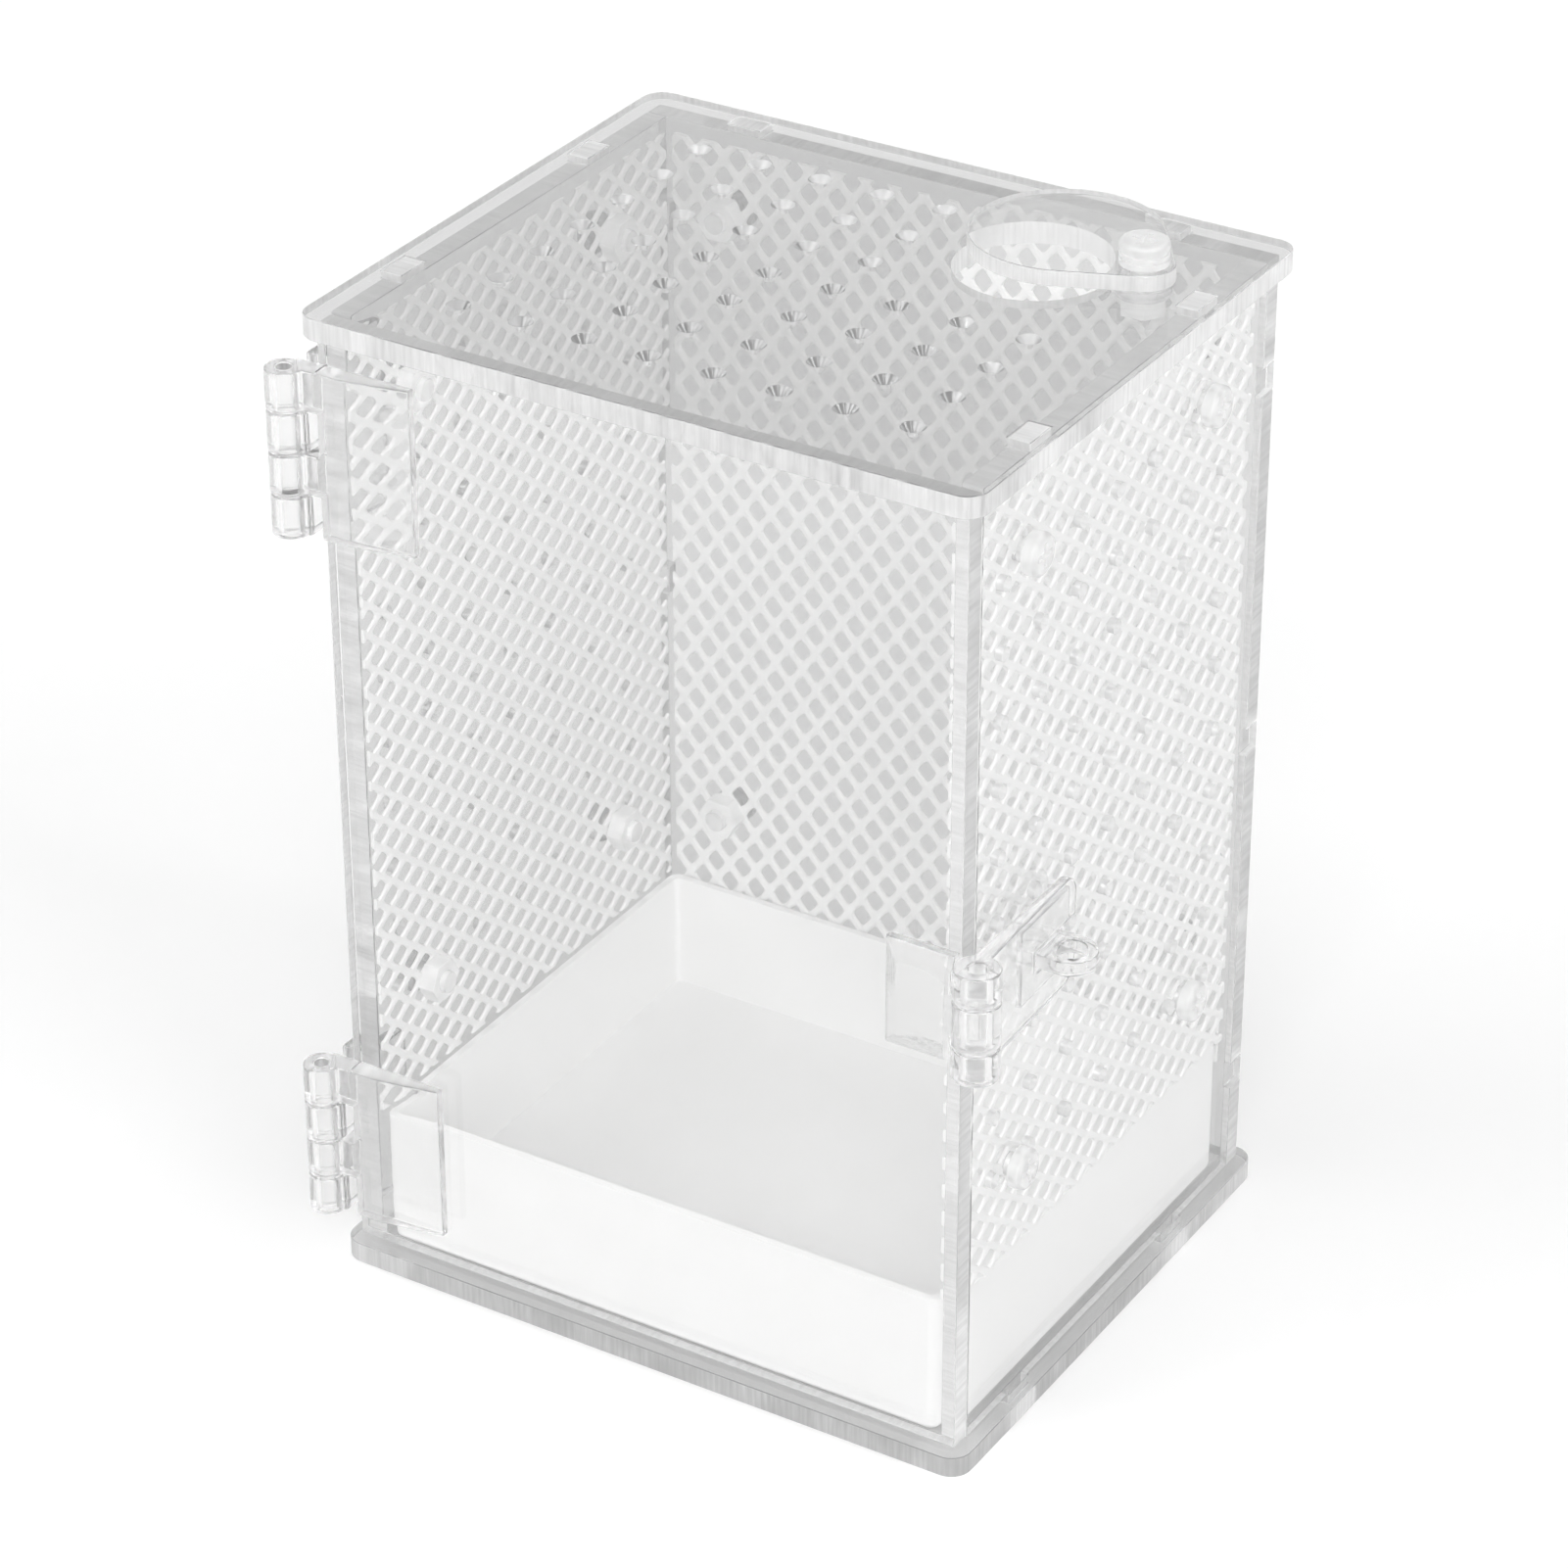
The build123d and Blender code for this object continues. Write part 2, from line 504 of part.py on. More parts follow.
# Feeding cover: a disc with a lobe round its pivot, standing ajar over the feeding hole
cover_foot = HEIGHT + COVER_GAP
cover_angle = math.radians(FEED_ANGLE + COVER_AJAR)
cover_mid = (PIVOT_X + COVER_REACH * math.cos(cover_angle), PIVOT_Y + COVER_REACH * math.sin(cover_angle))
with BuildPart() as feeding_cover:
    with BuildSketch(Plane.XY.offset(cover_foot)):
        with Locations(cover_mid):
            Circle(COVER_R)
        with Locations((PIVOT_X, PIVOT_Y)):
            Circle(COVER_LOBE_R)
        make_hull()
        with Locations((PIVOT_X, PIVOT_Y)):
            Circle(PIVOT_SCREW_R + PIVOT_FIT, mode=Mode.SUBTRACT)
    extrude(amount=COVER_T)
save(feeding_cover, "feeding_cover")

# Cover's pivot screw with a grooved head, its washer and its nut
head_foot = cover_foot + COVER_T + COVER_GAP
washer_foot = HEIGHT - SHEET - SEAM - PIVOT_WASHER_T
nut_foot = washer_foot - SEAM - NUT_T
with BuildPart() as cover_screw:
    with BuildSketch(Plane.XY.offset(head_foot)):
        with Locations((PIVOT_X, PIVOT_Y)):
            Circle(PIVOT_HEAD_R)
    extrude(amount=PIVOT_HEAD_T)
    fillet(cover_screw.edges().group_by(Axis.Z)[-1], PIVOT_HEAD_ROUND)
    for groove in range(PIVOT_GROOVES):
        groove_foot = head_foot + (groove + 1) * PIVOT_GROOVE_PITCH
        with BuildSketch(Plane.XY.offset(groove_foot)):
            with Locations((PIVOT_X, PIVOT_Y)):
                Circle(PIVOT_HEAD_R)
                Circle(PIVOT_HEAD_R - PIVOT_GROOVE, mode=Mode.SUBTRACT)
        extrude(amount=PIVOT_GROOVE, mode=Mode.SUBTRACT)
    with BuildSketch(Plane.XY.offset(head_foot)):
        with Locations((PIVOT_X, PIVOT_Y)):
            Circle(PIVOT_SCREW_R)
    extrude(amount=nut_foot - SCREW_END - head_foot)
    with BuildSketch(Plane.XY.offset(head_foot + PIVOT_HEAD_T)):
        with Locations((PIVOT_X, PIVOT_Y)):
            Rectangle(DRIVE_LONG, DRIVE_WIDE)
            Rectangle(DRIVE_WIDE, DRIVE_LONG)
    extrude(amount=-DRIVE_DEEP, mode=Mode.SUBTRACT)
save(cover_screw, "cover_screw")

with BuildPart() as cover_washer:
    with BuildSketch(Plane.XY.offset(washer_foot)):
        with Locations((PIVOT_X, PIVOT_Y)):
            Circle(PIVOT_WASHER_R)
            Circle(PIVOT_SCREW_R + PIVOT_FIT, mode=Mode.SUBTRACT)
    extrude(amount=PIVOT_WASHER_T)
save(cover_washer, "cover_washer")

with BuildPart() as cover_nut:
    with BuildSketch(Plane.XY.offset(nut_foot)):
        with Locations((PIVOT_X, PIVOT_Y)):
            RegularPolygon(NUT_FLATS / 2, 6, major_radius=False)
            Circle(PIVOT_SCREW_R + NUT_FIT, mode=Mode.SUBTRACT)
    extrude(amount=NUT_T)
save(cover_nut, "cover_nut")
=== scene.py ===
import json
import math

import bmesh
import bpy
import numpy as np
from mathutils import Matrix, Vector

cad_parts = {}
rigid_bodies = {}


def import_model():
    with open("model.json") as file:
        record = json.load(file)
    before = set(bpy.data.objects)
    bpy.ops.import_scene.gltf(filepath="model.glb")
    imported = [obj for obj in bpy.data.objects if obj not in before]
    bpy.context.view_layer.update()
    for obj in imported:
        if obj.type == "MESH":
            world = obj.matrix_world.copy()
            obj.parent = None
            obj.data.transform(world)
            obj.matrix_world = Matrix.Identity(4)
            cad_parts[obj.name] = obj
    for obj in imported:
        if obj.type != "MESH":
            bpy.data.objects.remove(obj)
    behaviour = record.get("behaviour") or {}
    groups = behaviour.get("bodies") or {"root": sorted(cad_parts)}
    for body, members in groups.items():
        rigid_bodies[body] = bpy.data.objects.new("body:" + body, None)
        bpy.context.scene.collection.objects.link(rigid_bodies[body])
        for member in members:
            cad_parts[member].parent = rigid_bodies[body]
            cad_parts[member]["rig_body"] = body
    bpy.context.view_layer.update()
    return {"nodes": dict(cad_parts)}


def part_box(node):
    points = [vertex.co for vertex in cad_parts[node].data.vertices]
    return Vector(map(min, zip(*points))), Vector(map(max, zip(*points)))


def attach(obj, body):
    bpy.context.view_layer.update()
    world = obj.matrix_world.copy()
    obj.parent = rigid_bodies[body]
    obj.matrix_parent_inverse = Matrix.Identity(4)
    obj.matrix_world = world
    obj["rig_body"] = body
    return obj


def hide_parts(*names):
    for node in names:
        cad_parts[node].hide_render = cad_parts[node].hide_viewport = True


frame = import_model()
scene = bpy.context.scene

MM = 0.001
NET_THICK = 0.5 * MM
NET_JOIN = 2e-6  # metres within which the strips' corners are joined
HOLE_LONG = 3.2 * MM  # along the net's long pitch
HOLE_SHORT = 2.75 * MM
HOLE_CORNERS = 1.25  # 1 is a sharp diamond, 2 an ellipse
HOLES_EACH_WAY = 60  # lattice steps tried on either side of the first hole
SIDE_POINTS = 4  # points along one side of a hole's cell
# Half a strand's section: the share of the way from the cell's side to the hole's outline, and the height
# over the net's middle plane as a share of half the thickness.
STRAND = np.array([(0, 1.0), (0.74, 0.92), (1.0, 0.0), (0.74, -0.92), (0, -1.0)])
SCREW_HOLE = 1.65 * MM
SCREW_HEAD_R = 2.8 * MM
SMALLEST = 1e-7  # keeps a division by a distance from failing
NET_SHARP = math.radians(50)
# Each net's lattice in its wall's plane, across and up in millimetres: the step to the next hole across, the
# step to the next hole up, and the middle of one hole. Half of both steps leads to the holes between.
LATTICES = {
    "left": ((5.8, -0.2), (0.6, 3.95), (-1.9, 4.2)),
    "right": ((5.74, -0.02), (-0.12, 4.1), (0.8, 1.5)),
    "back": ((4.35, 0.25), (-0.16, 5.7), (0.27, 0.9)),
}

# Rounded edges
MICROMETRES = 1e6
SHADE_SHARP = math.radians(32)
ROUND_FROM = math.radians(40)  # an edge is rounded if its faces meet at more than this
FLAT_WITHIN = math.radians(0.5)  # faces closer than this to one plane are joined
SHEET_EDGE = 0.18 * MM
MOULDED_EDGE = 0.3 * MM
SCREW_EDGE = 0.15 * MM
PIVOT_EDGE = 0.12 * MM

# Materials' shared values
PLASTIC_IOR = 1.49
BUMP_DISTANCE = 0.0002
LAMPLIGHT = 0.985  # share of the lamps' light that each clear surface lets through
SCATTER_THROUGH = 0.25  # share of the pale scatter that comes out on the far side
CUT_BELOW = 0.4  # a surface is a cut edge where its normal has less than this along the sheet's thickness
SLOPE_BELOW = 0.93  # and a countersink or a rounded edge from there to this
CUT_TONE = 0.94
MOULDED_TONE = 0.92
DIRECT_RAYS = ("Camera", "Glossy", "Transmission")

# Stage
HALF_FLOOR = 3.0
FLOOR_DROP = 0.0002
FLOOR_LIFT = 0.09  # what the floor needs to show as white where no shadow falls
AMBIENT = 0.42
LAMP_DISTANCE = 8.0
LAMP_SIZE = 5.0
# Each lamp's azimuth and elevation in degrees, and its level
LAMPS = {
    "front_lamp": (26, 30, 0.47),
    "right_lamp": (80, 30, 0.37),
    "left_lamp": (-50, 35, 0.33),
    "back_lamp": (170, 42, 0.2),
}
BOX_MIDDLE = Vector((0, 0, 0.07))
# The camera, fitted to the photograph from the box's straight edges
CAMERA_PLACE = (0.31389, -0.51632, 0.42060)
CAMERA_TURN = (59.718, 0.139, 31.460)
CAMERA_LENS = 123.34
CAMERA_SENSOR = 36


# Materials

class Socket:
    """A number's socket, with arithmetic that adds the Math nodes."""

    def __init__(self, shader, out):
        self.shader = shader
        self.out = out

    def maths(self, operation, *values):
        return self.shader.node("ShaderNodeMath", dict(enumerate(values)), operation=operation)

    def __add__(self, other):
        return self.maths("ADD", self, other)

    def __radd__(self, other):
        return self.maths("ADD", other, self)

    def __sub__(self, other):
        return self.maths("SUBTRACT", self, other)

    def __rsub__(self, other):
        return self.maths("SUBTRACT", other, self)

    def __mul__(self, other):
        return self.maths("MULTIPLY", self, other)

    def __rmul__(self, other):
        return self.maths("MULTIPLY", other, self)

    def above(self, level):
        return self.maths("GREATER_THAN", self, level)

    def larger(self, other):
        return self.maths("MAXIMUM", self, other)

    def size(self):
        return self.maths("ABSOLUTE", self)


class Shader:
    """A node tree whose nodes are all made by one method."""

    def __init__(self, owner):
        owner.use_nodes = True
        self.tree = owner.node_tree
        self.tree.nodes.clear()

    def node(self, kind, values=None, out=0, **settings):
        """Makes a node, sets its options, and fills or links its inputs."""
        made = self.tree.nodes.new(kind)
        for name, value in settings.items():
            setattr(made, name, value)
        for name, value in (values or {}).items():
            if isinstance(value, Socket):
                self.tree.links.new(value.out, made.inputs[name])
            else:
                made.inputs[name].default_value = value
        return Socket(self, made.outputs[out]) if made.outputs else None

    def place(self, kind="Object"):
        return self.node("ShaderNodeTexCoord", out=kind)

    def parts(self, vector):
        return [self.node("ShaderNodeSeparateXYZ", {0: vector}, out=axis) for axis in "XYZ"]

    def noise(self, scale, detail, where):
        pattern = {"Vector": where, "Scale": scale, "Detail": detail}
        return self.node("ShaderNodeTexNoise", pattern, out="Fac")

    def stretched(self, where, scale):
        return self.node("ShaderNodeVectorMath", {0: where, 1: scale}, operation="MULTIPLY")

    def tint(self, factor, low, high):
        ends = {"Factor": factor, "A": low, "B": high}
        return self.node("ShaderNodeMix", ends, out="Result", data_type="RGBA")

    def bump(self, strength, height):
        relief = {"Strength": strength, "Distance": BUMP_DISTANCE, "Height": height}
        return self.node("ShaderNodeBump", relief)

    def mixed(self, share, first, second):
        return self.node("ShaderNodeMixShader", {0: share, 1: first, 2: second})

    def seen_directly(self):
        """1 for rays from the camera, by gloss or through a clear piece, and 0 for other rays."""
        rays = [self.node("ShaderNodeLightPath", out=f"Is {kind} Ray") for kind in DIRECT_RAYS]
        return rays[0].larger(rays[1]).larger(rays[2])

    def finish(self, surface, output="ShaderNodeOutputMaterial"):
        self.node(output, {"Surface": surface})


def grey(tone):
    return (tone, tone, tone, 1)


def see_through(owner, surface):
    """Lets the lamps' light straight through a clear piece."""
    shadow_ray = owner.node("ShaderNodeLightPath", out="Is Shadow Ray")
    straight = owner.node("ShaderNodeBsdfTransparent", {"Color": grey(LAMPLIGHT)})
    return owner.mixed(shadow_ray, surface, straight)


def cloud(owner, surface, share, tone):
    """Mixes a clear surface with the pale scatter of cut or moulded plastic."""
    front = owner.node("ShaderNodeBsdfDiffuse", {"Color": grey(tone)})
    through = owner.node("ShaderNodeBsdfTranslucent", {"Color": grey(tone)})
    return owner.mixed(share, surface, owner.mixed(SCATTER_THROUGH, front, through))


def clear_surface(owner, colour, roughness, bump):
    """Clear plastic of one colour, gloss and relief."""
    return owner.node("ShaderNodeBsdfPrincipled", {
        "Base Color": colour,
        "Roughness": roughness,
        "IOR": PLASTIC_IOR,
        "Transmission Weight": 1.0,
        "Normal": bump,
    })


def clear_sheet(name, thin_axis, tone, edge_tone_and_shade, edge_cloud):
    """Cast clear sheet: glossy faces, faintly wavy, and cut edges with fine streaks across the thickness."""
    material = bpy.data.materials.new(name)
    owner = Shader(material)
    where = owner.place()
    thin = "XYZ".index(thin_axis)
    facing = owner.parts(owner.place("Normal"))[thin].size()
    cut_edge = 1 - facing.above(CUT_BELOW)
    slope = facing.above(CUT_BELOW) - facing.above(SLOPE_BELOW)
    along = [1900.0, 1900.0, 1900.0]
    along[thin] = 120.0
    patches = owner.noise(130.0, 2.0, where)
    streaks = owner.noise(1.0, 2.0, owner.stretched(where, along)) * patches
    waviness = owner.noise(55.0, 1.0, where)
    specks = owner.noise(900.0, 3.0, where)
    bump = owner.bump(0.25, cut_edge * streaks * 0.9 + waviness * 0.06)
    # The tones darken the whole sheet and its cut edges: a plain tint for the door, right wall and cover,
    # painted shade for the darker back, left, top and base sheets.
    colour = owner.tint(cut_edge, grey(tone), grey(edge_tone_and_shade))
    roughness = 0.015 + cut_edge * (0.1 + streaks * 0.16) + specks * 0.012
    haze = cut_edge * (edge_cloud + streaks * 0.6) + slope * 0.3
    cloudy = cloud(owner, clear_surface(owner, colour, roughness, bump), haze, CUT_TONE)
    owner.finish(see_through(owner, cloudy))
    return material


def clear_moulding(name, tone, rough, haze):
    """Moulded clear plastic: glossy, with slow flow waves and faint specks."""
    material = bpy.data.materials.new(name)
    owner = Shader(material)
    where = owner.place()
    flow = owner.noise(260.0, 2.0, where)
    specks = owner.noise(2400.0, 2.0, where)
    bump = owner.bump(0.18, flow + specks * 0.2)
    colour = owner.tint(flow, grey(tone * 0.975), grey(tone))
    surface = clear_surface(owner, colour, rough + specks * 0.03, bump)
    owner.finish(see_through(owner, cloud(owner, surface, haze + flow * haze, MOULDED_TONE)))
    return material


def white_plastic(name, tone, rough, grain, depth):
    """Opaque white plastic: a fine moulded grain, and a slight mottle in colour and gloss."""
    material = bpy.data.materials.new(name)
    owner = Shader(material)
    where = owner.place()
    mottle = owner.noise(grain * 0.1, 3.0, where)
    fine = owner.noise(grain, 4.0, where)
    darker = (tone * 0.965, tone * 0.965, tone * 0.96, 1)
    surface = owner.node("ShaderNodeBsdfPrincipled", {
        "Base Color": owner.tint(mottle, darker, grey(tone)),
        "Roughness": rough + mottle * 0.12,
        "Normal": owner.bump(depth, fine),
    })
    owner.finish(surface)
    return material


# The door, the right wall and the cover are nearly clear. The others are darker copies of the same clear
# sheet, their grey a painted shade.
door_sheet = clear_sheet("clear_sheet_door", "Y", 0.95, 0.92, 0.5)
right_sheet = clear_sheet("clear_sheet_right", "X", 0.95, 0.92, 0.5)
back_sheet_painted_shade = clear_sheet("clear_sheet_back_painted_shade", "Y", 0.7, 0.9, 0.5)
left_sheet_painted_shade = clear_sheet("clear_sheet_left_painted_shade", "X", 0.7, 0.9, 0.5)
top_sheet_painted_shade = clear_sheet("clear_sheet_top_painted_shade", "Z", 0.69, 0.86, 0.45)
base_sheet_painted_shade = clear_sheet("clear_sheet_base_painted_shade", "Z", 0.66, 0.78, 0.4)
cover_sheet = clear_sheet("clear_sheet_cover", "Z", 0.92, 0.92, 0.4)
hardware = clear_moulding("clear_hardware", 0.98, 0.0, 0.05)
screw_plastic = clear_moulding("clear_screw", 0.98, 0.02, 0.26)
nut_plastic = clear_moulding("clear_nut", 0.98, 0.02, 0.5)
net_plastic = white_plastic("net_plastic", 0.87, 0.6, 3200.0, 0.2)
tray_plastic = white_plastic("tray_plastic", 0.9, 0.45, 1500.0, 0.1)


# Pieces

def finish_piece(obj, material, body, slot, *nodes):
    """Material, body, material slot (not used) and the CAD nodes that the piece stands for."""
    obj.data.materials.clear()
    obj.data.materials.append(material)
    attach(obj, body)
    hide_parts(*nodes)
    return obj


def in_scene(name, data):
    obj = bpy.data.objects.new(name, data)
    scene.collection.objects.link(obj)
    return obj


def plane_axes(axis):
    """The two axes across the given one."""
    return [n for n in range(3) if n != axis]


def read(items, name, kind, width):
    """One property of a mesh's items as an array, a row for each item."""
    values = np.empty(len(items) * width, kind)
    items.foreach_get(name, values)
    return values.reshape(-1, width)


def joined_mesh(node):
    """A CAD node's loose triangles, joined where their corners lie on the same micrometre."""
    source = frame["nodes"][node].data
    points = read(source.vertices, "co", np.float32, 3)
    places = np.round(points * MICROMETRES).astype(np.int64)
    first, joined = np.unique(places, axis=0, return_index=True, return_inverse=True)[1:]
    triangles = joined.ravel()[read(source.loops, "vertex_index", np.int32, 1).ravel()].reshape(-1, 3)
    whole = (triangles != np.roll(triangles, 1, axis=1)).all(axis=1)
    mesh = bpy.data.meshes.new(node + "_shape")
    mesh.from_pydata(points[first].tolist(), [], triangles[whole].tolist())
    mesh.set_sharp_from_angle(angle=SHADE_SHARP)
    return mesh


def edge_turns(mesh):
    """The cosine of the angle between the two faces at each edge of a mesh of triangles."""
    edge_of = read(mesh.loops, "edge_index", np.int32, 1).ravel()
    normals = read(mesh.polygons, "normal", np.float32, 3)
    order = np.argsort(edge_of, kind="stable")
    starts = np.searchsorted(edge_of[order], np.arange(len(mesh.edges)))
    pair = np.bincount(edge_of, minlength=len(mesh.edges)) == 2
    face = order // 3
    turn = np.ones(len(mesh.edges))
    turn[pair] = (normals[face[starts[pair]]] * normals[face[starts[pair] + 1]]).sum(1)
    return turn


def edged(node, material, slot, width, shortest=0.0, border=0.0):
    """A CAD node's own shape with its sharp edges slightly rounded.

    A sharp edge is rounded if it is longer than the shortest or near the border of the piece's broad side.
    The triangles of each flat face are joined first, because a rounded rim would fold the thin ones over.
    """
    mesh = joined_mesh(node)
    points = read(mesh.vertices, "co", np.float32, 3)
    ends = points[read(mesh.edges, "vertices", np.int32, 2)]
    long_enough = np.linalg.norm(ends[:, 0] - ends[:, 1], axis=1) > shortest
    low, high = points.min(0), points.max(0)
    broad = plane_axes(int(np.argmin(high - low)))
    inset = np.minimum(ends - low, high - ends)[:, :, broad].min(axis=(1, 2))
    rounded = (edge_turns(mesh) < math.cos(ROUND_FROM)) & (long_enough | (inset < border))
    weight = mesh.attributes.new("bevel_weight_edge", "FLOAT", "EDGE")
    weight.data.foreach_set("value", rounded.astype(np.float32))
    shape = bmesh.new()
    shape.from_mesh(mesh)
    bmesh.ops.dissolve_limit(shape, angle_limit=FLAT_WITHIN, verts=[], edges=shape.edges[:])
    shape.to_mesh(mesh)
    shape.free()
    obj = in_scene(node + "_edged", mesh)
    bevel = obj.modifiers.new("rounded_edges", "BEVEL")
    bevel.width = width
    bevel.segments = 2
    bevel.limit_method = "WEIGHT"
    bevel.use_clamp_overlap = False
    bevel.harden_normals = True
    return finish_piece(obj, material, frame["nodes"][node]["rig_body"], slot, node)


def trimmed(shape, low, high, axes):
    """Cuts a closed shape straight along the four sides of a box in a plane, and closes the cut ends."""
    for end, outward in ((low, -1), (high, 1)):
        for n, axis in enumerate(axes):
            point, normal = Vector(), Vector()
            point[axis], normal[axis] = end[n], outward
            whole = shape.verts[:] + shape.edges[:] + shape.faces[:]
            plane = {"plane_co": point, "plane_no": normal, "clear_outer": True}
            cut = bmesh.ops.bisect_plane(shape, geom=whole, **plane)
            edges = [part for part in cut["geom_cut"] if isinstance(part, bmesh.types.BMEdge)]
            bmesh.ops.holes_fill(shape, edges=[edge for edge in edges if edge.is_boundary], sides=0)


def net(name, low, high, screws, lattice, axis, middle, node):
    """A net of diamond holes on a slanting lattice, trimmed straight at its border.

    Every hole is ringed by four strips. A strip runs over u from one corner of the hole's cell to the next,
    and over v across half a strand: at v = 0 it lies on the cell's side P(u), at the last v on the hole's
    outline H(u), a rounded diamond |a/A|^p + |b/B|^p = 1, where a and b are measured along the lattice's two
    steps. Its height over the net's middle plane is half the thickness times the second number in STRAND.
    Near a screw each point at distance r goes out to (r^3 + s^3)^(1/3), so the strands bow round it.
    """
    across, up, first = (np.array(pair) * MM for pair in lattice)
    size = np.array([np.hypot(*across), np.hypot(*up)])
    along = np.array([across / size[0], up / size[1]])
    hole = np.array([HOLE_LONG, HOLE_SHORT] if size[0] > size[1] else [HOLE_SHORT, HOLE_LONG]) / 2
    steps = np.arange(-HOLES_EACH_WAY, HOLES_EACH_WAY)
    i, j = np.meshgrid(steps, steps, indexing="ij")
    centre = first + i.reshape(-1, 1) * (across + up) / 2 + j.reshape(-1, 1) * (up - across) / 2
    margin = size.max()
    low, high = np.array(low), np.array(high)
    centre = centre[((centre > low - margin) & (centre < high + margin)).all(1)]
    u = np.linspace(0, 1, SIDE_POINTS)[:, None]
    corner = np.array([(1, 0), (0, 1), (-1, 0), (0, -1)], float) * size / 2
    side = np.stack([corner[k] * (1 - u) + corner[(k + 1) % 4] * u for k in range(4)])
    outline = side * ((np.abs(side / hole) ** HOLE_CORNERS).sum(-1) ** (-1 / HOLE_CORNERS))[..., None]
    v = STRAND[:, :1]
    cell = side[:, :, None] * (1 - v) + outline[:, :, None] * v
    flat = centre[:, None, None, None] + cell @ along
    for screw in screws:
        away = flat - np.array(screw)
        far = np.maximum(np.hypot(away[..., 0], away[..., 1]), SMALLEST)
        flat = np.array(screw) + away * ((far ** 3 + SCREW_HOLE ** 3) ** (1 / 3) / far)[..., None]
    rise = np.broadcast_to(STRAND[:, 1] * NET_THICK / 2, flat.shape[:-1])
    number = np.arange(rise.size).reshape(rise.shape)
    quads = np.stack(
        [number[..., :-1, :-1], number[..., 1:, :-1], number[..., 1:, 1:], number[..., :-1, 1:]], -1
    ).reshape(-1, 4)
    points = np.empty((rise.size, 3))
    others = plane_axes(axis)
    points[:, others] = flat.reshape(-1, 2)
    points[:, axis] = middle + rise.ravel()
    mesh = bpy.data.meshes.new(name)
    mesh.from_pydata(points.tolist(), [], quads.tolist())
    shape = bmesh.new()
    shape.from_mesh(mesh)
    bmesh.ops.remove_doubles(shape, verts=shape.verts, dist=NET_JOIN)
    trimmed(shape, low, high, others)
    bmesh.ops.recalc_face_normals(shape, faces=shape.faces)
    shape.to_mesh(mesh)
    shape.free()
    mesh.shade_smooth()
    mesh.set_sharp_from_angle(angle=NET_SHARP)
    return finish_piece(in_scene(name, mesh), net_plastic, "box", "white_net", node)


def screw_places(side, axis):
    """Middles of a wall's four screws in the wall's plane, from the box round their heads."""
    low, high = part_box(f"{side}_mesh_screws")
    across, up = ((low[n] + SCREW_HEAD_R, high[n] - SCREW_HEAD_R) for n in plane_axes(axis))
    return [(a, b) for a in across for b in up]


for side, axis in (("left", 0), ("right", 0), ("back", 1)):
    low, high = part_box(f"{side}_mesh")
    corners = [[corner[n] for n in plane_axes(axis)] for corner in (low, high)]
    middle = (low[axis] + high[axis]) / 2
    net(f"{side}_net", *corners, screw_places(side, axis), LATTICES[side], axis, middle, f"{side}_mesh")

sheet_materials = {
    "base_plate": base_sheet_painted_shade, "top_plate": top_sheet_painted_shade, "left_wall": left_sheet_painted_shade, "right_wall": right_sheet,
    "back_wall": back_sheet_painted_shade, "door_panel": door_sheet,
}
for node, material in sheet_materials.items():
    edged(node, material, "clear_sheet", SHEET_EDGE, shortest=2 * MM, border=1.5 * MM)
edged("feeding_cover", cover_sheet, "clear_sheet", SHEET_EDGE)
for level in ("upper", "lower"):
    for part in ("door_leaf", "wall_leaf"):
        edged(f"{level}_hinge_{part}", hardware, "clear_moulding", MOULDED_EDGE)
for node in ("latch_door_leaf", "latch_flap", "latch_staple"):
    edged(node, hardware, "clear_moulding", MOULDED_EDGE)
for side in ("left", "right", "back"):
    for part, material in (("screws", screw_plastic), ("nuts", nut_plastic)):
        edged(f"{side}_mesh_{part}", material, "clear_fastener", SCREW_EDGE)
pivot_materials = {"cover_screw": screw_plastic, "cover_washer": screw_plastic, "cover_nut": nut_plastic}
for node, material in pivot_materials.items():
    edged(node, material, "clear_fastener", PIVOT_EDGE)
shown_as_packed = {
    "upper_hinge_pin": hardware,
    "lower_hinge_pin": hardware,
    "latch_pin": hardware,
    "substrate_tray": tray_plastic,
}
for node, material in shown_as_packed.items():
    mesh = frame["nodes"][node].data
    mesh.materials.clear()
    mesh.materials.append(material)


# Stage, lamps and camera

def floor_material():
    """Pale floor with a faint mottle, lifted to white where it is seen and not in the box's shadow."""
    material = bpy.data.materials.new("pale_floor")
    owner = Shader(material)
    mottle = owner.noise(6.0, 2.0, owner.place())
    surface = owner.node("ShaderNodeBsdfPrincipled", {
        "Base Color": owner.tint(mottle, grey(0.89), grey(0.91)),
        "Roughness": 0.9,
        "Specular IOR Level": 0.0,
    })
    lift = owner.node("ShaderNodeEmission", {"Strength": owner.seen_directly() * FLOOR_LIFT})
    owner.finish(owner.node("ShaderNodeAddShader", {0: surface, 1: lift}))
    return material


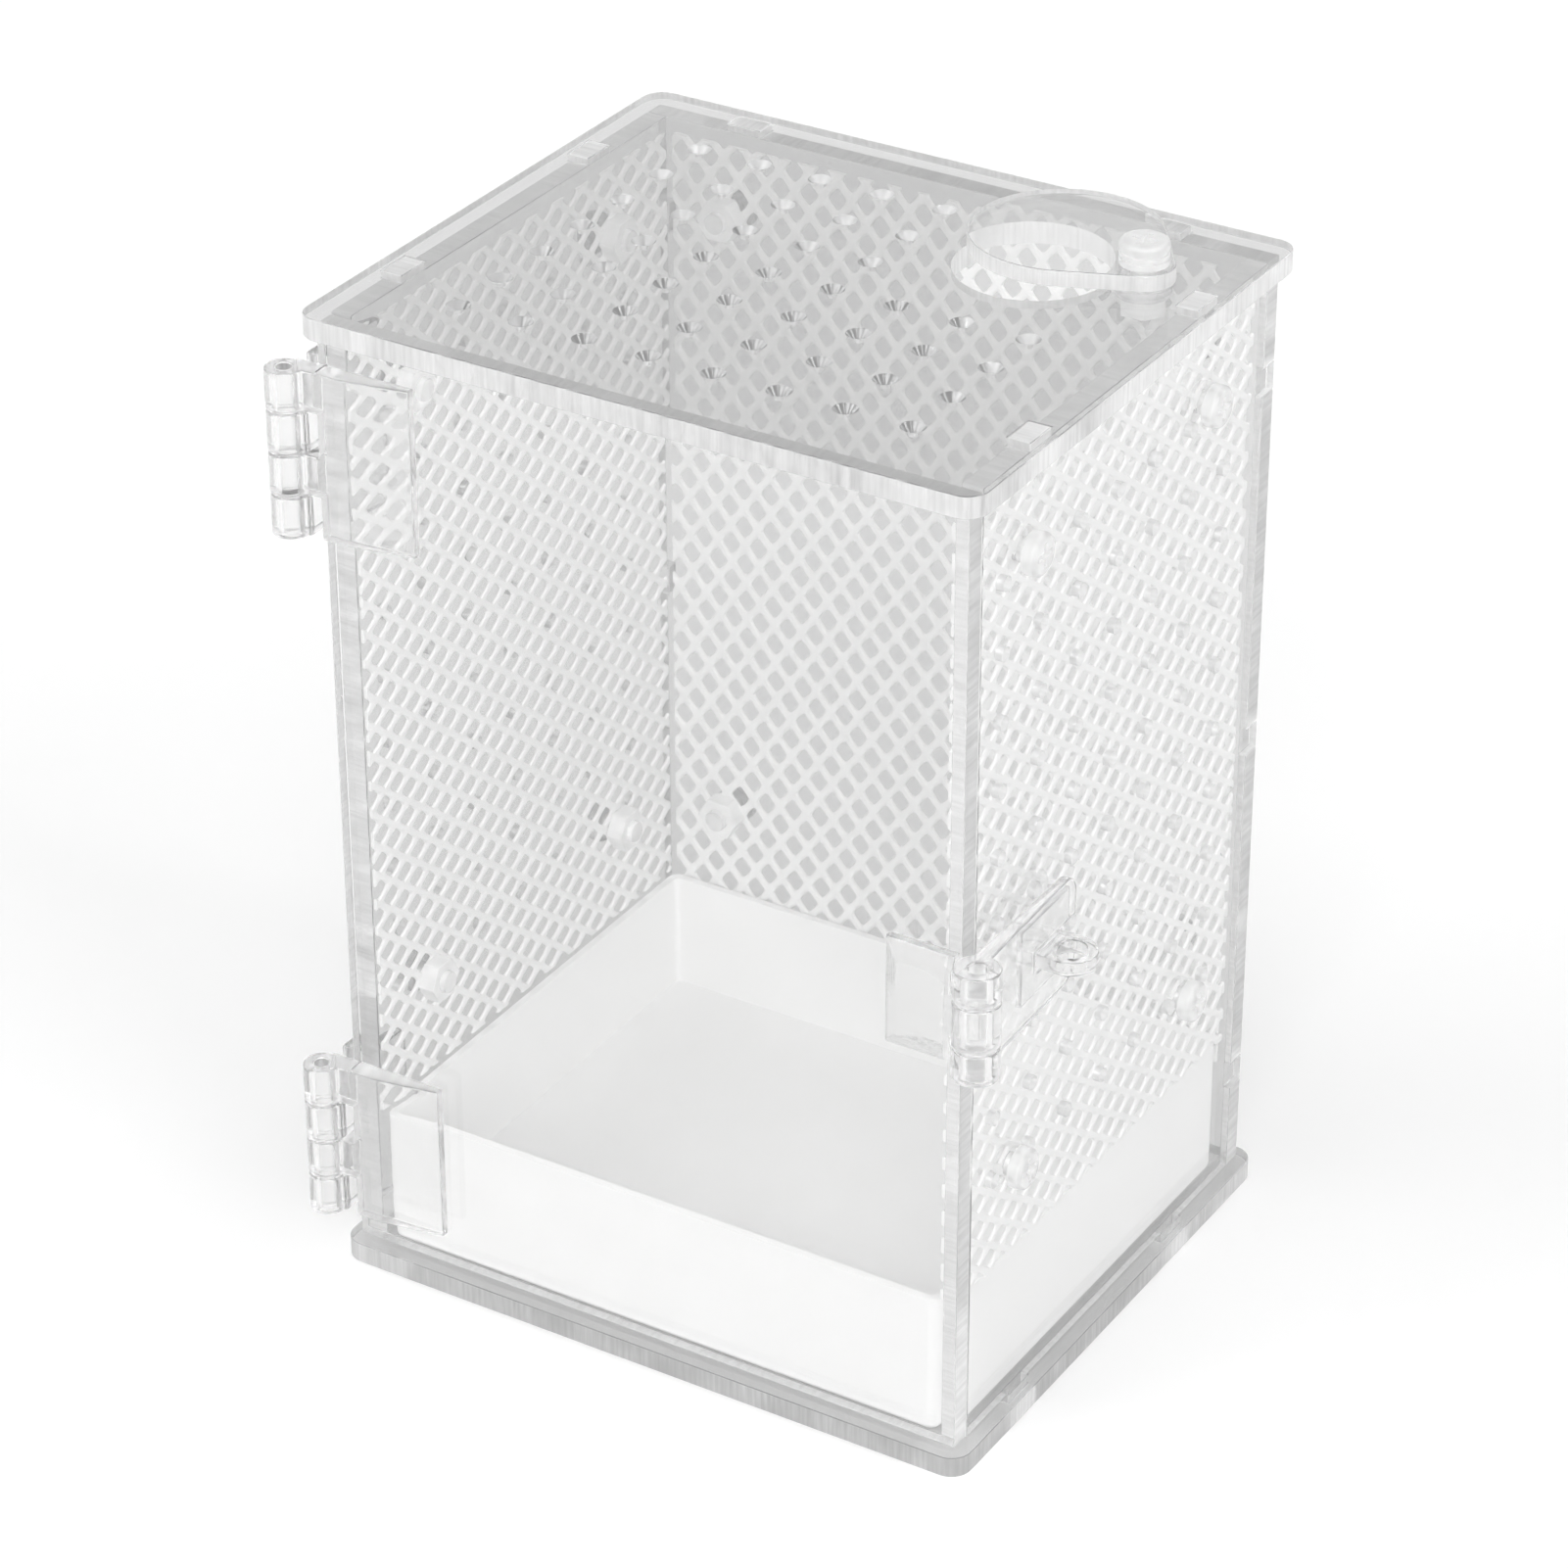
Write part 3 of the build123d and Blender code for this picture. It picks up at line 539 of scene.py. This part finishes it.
floor_mesh = bpy.data.meshes.new("floor")
floor_corners = [(x * HALF_FLOOR, y * HALF_FLOOR, 0) for x, y in ((-1, -1), (1, -1), (1, 1), (-1, 1))]
floor_mesh.from_pydata(floor_corners, [], [(0, 1, 2, 3)])
floor_mesh.materials.append(floor_material())
floor = in_scene("floor", floor_mesh)
floor.location.z = -FLOOR_DROP

world = bpy.data.worlds.new("studio")
scene.world = world
room = Shader(world)
lighting = room.node("ShaderNodeLightPath", out="Diffuse Depth").above(0.5)
seen = room.seen_directly() * (1 - lighting)
level = seen * (1.0 - AMBIENT) + AMBIENT
backdrop = room.node("ShaderNodeBackground", {"Color": grey(1), "Strength": level})
room.finish(backdrop, "ShaderNodeOutputWorld")


def lamp(name, azimuth, elevation, level):
    """A square soft lamp that faces the box's middle.

    The level is the light on a face square to the lamp, where 1 shows a pale colour about as it is written.
    """
    light = bpy.data.lights.new(name, "AREA")
    light.shape = "SQUARE"
    light.size = LAMP_SIZE
    light.energy = level * math.pi ** 2 * LAMP_DISTANCE ** 2
    obj = in_scene(name, light)
    turn, rise = math.radians(azimuth), math.radians(elevation)
    back = Vector((math.sin(turn) * math.cos(rise), -math.cos(turn) * math.cos(rise), math.sin(rise)))
    obj.location = BOX_MIDDLE + back * LAMP_DISTANCE
    obj.rotation_euler = back.to_track_quat("Z", "Y").to_euler()
    obj.visible_transmission = False


for name, (azimuth, elevation, level) in LAMPS.items():
    lamp(name, azimuth, elevation, level)

camera_data = bpy.data.cameras.new("camera")
camera_data.sensor_width = CAMERA_SENSOR
camera_data.lens = CAMERA_LENS
camera_data.clip_start = 0.01
camera_data.clip_end = 20
camera = in_scene("camera", camera_data)
camera.location = CAMERA_PLACE
camera.rotation_euler = [math.radians(angle) for angle in CAMERA_TURN]
scene.camera = camera

scene.view_settings.view_transform = "Standard"
scene.cycles.caustics_reflective = False
scene.cycles.caustics_refractive = True
scene.cycles.max_bounces = 24
scene.cycles.transmission_bounces = 24
scene.cycles.glossy_bounces = 8
scene.cycles.diffuse_bounces = 4
scene.cycles.transparent_max_bounces = 32
